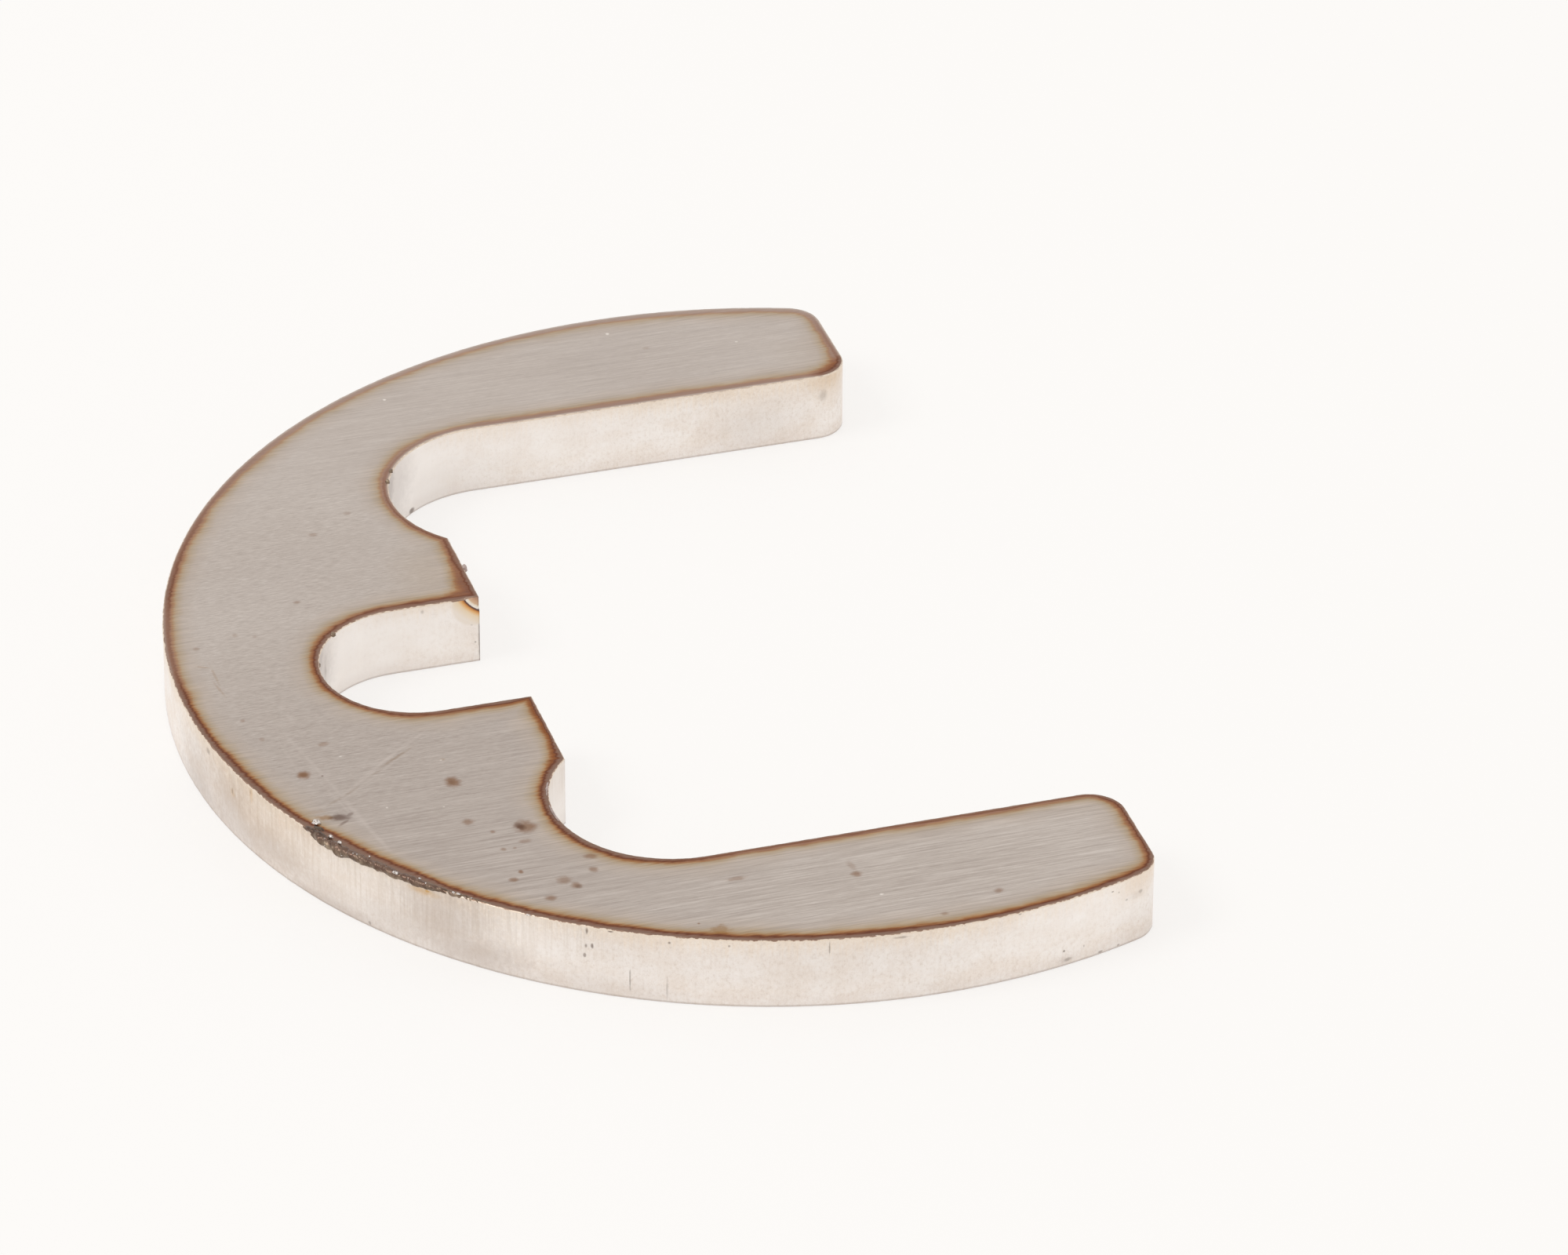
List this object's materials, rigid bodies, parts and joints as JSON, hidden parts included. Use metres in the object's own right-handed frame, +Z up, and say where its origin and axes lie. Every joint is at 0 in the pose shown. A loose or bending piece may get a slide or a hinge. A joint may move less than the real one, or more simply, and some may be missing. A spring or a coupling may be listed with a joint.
{
  "type": "horseshoe washer",
  "caption": "Flat open washer in the shape of a horseshoe. It slides sideways onto a grooved shaft, and tongues at the back of its throat bear on the shaft.",
  "frame": {"origin": "centre of the round outer edge, on the lower face, which lies on the table", "axes": "+X out of the open throat, past the ends of the legs; +Y across the legs; +Z up through the plate's thickness"},
  "size_m": [0.0348, 0.0508, 0.0032],
  "materials": {
    "brushed_stainless": "brushed along the legs, with heat-tinted cut edges"
  },
  "bodies": {
    "root": {"horseshoe_washer": "brushed_stainless"}
  },
  "joints": []
}
